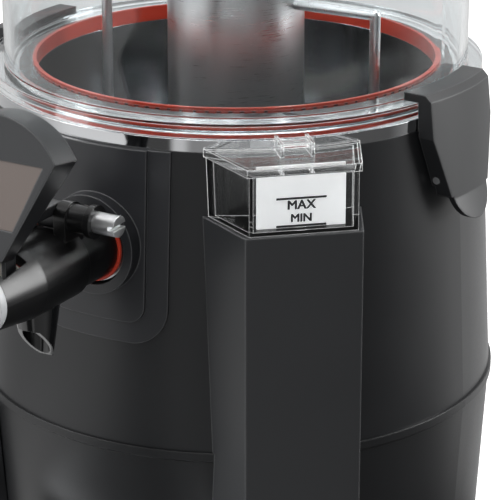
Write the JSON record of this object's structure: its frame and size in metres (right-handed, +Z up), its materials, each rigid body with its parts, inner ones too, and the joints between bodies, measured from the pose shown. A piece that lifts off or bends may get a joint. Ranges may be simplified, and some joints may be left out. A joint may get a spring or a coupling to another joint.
{
  "type": "hot chocolate dispenser machine",
  "caption": "Table-top hot drink dispenser: clear bowl with stirrer on a heated drum, side latches, front piston tap with pull handle, water level cup and drip tray",
  "frame": {"origin": "point of the table top under the drum's axis", "axes": "+Z up along the drum's axis, -Y towards the tap and the drip tray, +X to the user's right"},
  "size_m": [0.2668, 0.4167, 0.4656],
  "materials": {
    "casing_black": "satin",
    "black_plastic": "fine textured",
    "gloss_black": "gloss",
    "handle_grey": "satin",
    "badge_brown": "satin",
    "clear_plastic": "clear",
    "clear_lid": "clear",
    "steel": "brushed",
    "chrome": "polished",
    "silicone_red": "soft satin",
    "rubber_black": "matte",
    "zinc_steel": "plain",
    "nylon_white": "satin",
    "level_grey": "satin",
    "mark_black": "matte",
    "lamp_amber": "clear",
    "switch_black": "gloss",
    "silicone_clear": "soft",
    "cap_grey": "satin"
  },
  "bodies": {
    "machine": {"base_plate": "zinc_steel", "base_shell": "black_plastic", "bowl_seal": "silicone_red", "cable_gland": "black_plastic", "clear_bowl": "clear_plastic", "control_panel": "black_plastic", "drain_plug": "chrome", "foot_screws": "zinc_steel", "front_trim": "black_plastic", "gear_motor": "zinc_steel", "heat_lamp": "lamp_amber", "heater_ring": "steel", "left_latch_bracket": "black_plastic", "left_latch_pin": "steel", "level_cup": "clear_plastic", "level_duct": "black_plastic", "level_marks": "mark_black", "level_plate": "level_grey", "level_tube": "silicone_clear", "lever_pin": "steel", "lower_bush": "nylon_white", "motor_bridge": "zinc_steel", "nose_cap": "cap_grey", "outer_casing": "casing_black", "outlet_gasket": "rubber_black", "outlet_plate": "gloss_black", "outlet_tube": "steel", "product_pot": "steel", "return_coil": "steel", "right_latch_bracket": "black_plastic", "right_latch_pin": "steel", "rubber_feet": "rubber_black", "safety_thermostat": "zinc_steel", "spout": "gloss_black", "steel_deck": "chrome", "tap_body": "gloss_black", "tap_o_rings": "silicone_red", "upper_bush": "nylon_white", "water_bath": "steel", "working_thermostat": "zinc_steel"},
    "agitator": {"drive_shaft": "steel", "shaft_coupling": "zinc_steel", "agitator_column": "steel", "scraper_blades": "nylon_white", "mixing_loops": "steel", "agitator_nut": "gloss_black"},
    "lever": {"tap_lever": "handle_grey", "lever_badge": "badge_brown"},
    "piston": {"tap_piston": "nylon_white", "piston_seals": "silicone_red"},
    "left_hook": {"left_latch": "black_plastic"},
    "right_hook": {"right_latch": "black_plastic"},
    "cover": {"lid": "clear_lid", "lid_knob": "gloss_black"},
    "tray": {"drip_tray": "black_plastic"},
    "grid": {"drip_grid": "steel"},
    "dial": {"heat_dial": "black_plastic"},
    "heat_rocker": {"heat_switch": "switch_black"},
    "mix_rocker": {"mix_switch": "switch_black"},
    "cup_cover": {"cup_lid": "clear_lid"}
  },
  "joints": [
    {"name": "agitator_turn", "type": "hinge", "parent": "machine", "child": "agitator", "pos_m": [0, 0, 0.3], "axis": [0, 0, 1], "continuous": true},
    {"name": "lever_pull", "type": "hinge", "parent": "machine", "child": "lever", "pos_m": [0, -0.153, 0.2083], "axis": [1, 0, 0], "range_deg": [0, 12], "stiffness_Nm_per_rad": 0.6, "springref_deg": -6.88},
    {"name": "piston_slide", "type": "slide", "parent": "machine", "child": "piston", "axis": [0, 1, 0], "range_m": [0, 0.0055]},
    {"name": "left_release", "type": "hinge", "parent": "machine", "child": "left_hook", "pos_m": [-0.12123, -0.00635, 0.207], "axis": [0.0523, -0.9986, 0], "range_deg": [0, 10]},
    {"name": "right_release", "type": "hinge", "parent": "machine", "child": "right_hook", "pos_m": [0.12123, -0.00635, 0.207], "axis": [0.0523, 0.9986, 0], "range_deg": [0, 10]},
    {"name": "lid_lift", "type": "slide", "parent": "machine", "child": "cover", "axis": [0, 0, 1], "range_m": [0, 0.12]},
    {"name": "tray_pull", "type": "slide", "parent": "machine", "child": "tray", "axis": [0, -1, 0], "range_m": [0, 0.12]},
    {"name": "grid_lift", "type": "slide", "parent": "tray", "child": "grid", "axis": [0, 0, 1], "range_m": [0, 0.04]},
    {"name": "dial_turn", "type": "hinge", "parent": "machine", "child": "dial", "pos_m": [-0.11133, -0.06541, 0.053], "axis": [0.788, 0.6157, 0], "range_deg": [0, 270]},
    {"name": "heat_rock", "type": "hinge", "parent": "machine", "child": "heat_rocker", "pos_m": [-0.09295, -0.0869, 0.053], "axis": [0.6157, -0.788, 0], "range_deg": [-6, 6]},
    {"name": "mix_rock", "type": "hinge", "parent": "machine", "child": "mix_rocker", "pos_m": [-0.08249, -0.1003, 0.053], "axis": [0.6157, -0.788, 0], "range_deg": [-6, 6]},
    {"name": "cup_lid_lift", "type": "slide", "parent": "machine", "child": "cup_cover", "axis": [0, 0, 1], "range_m": [0, 0.03]}
  ],
  "couplings": [
    {"joint": "piston_slide", "follows": "lever_pull", "m_per_rad": 0.0245}
  ]
}
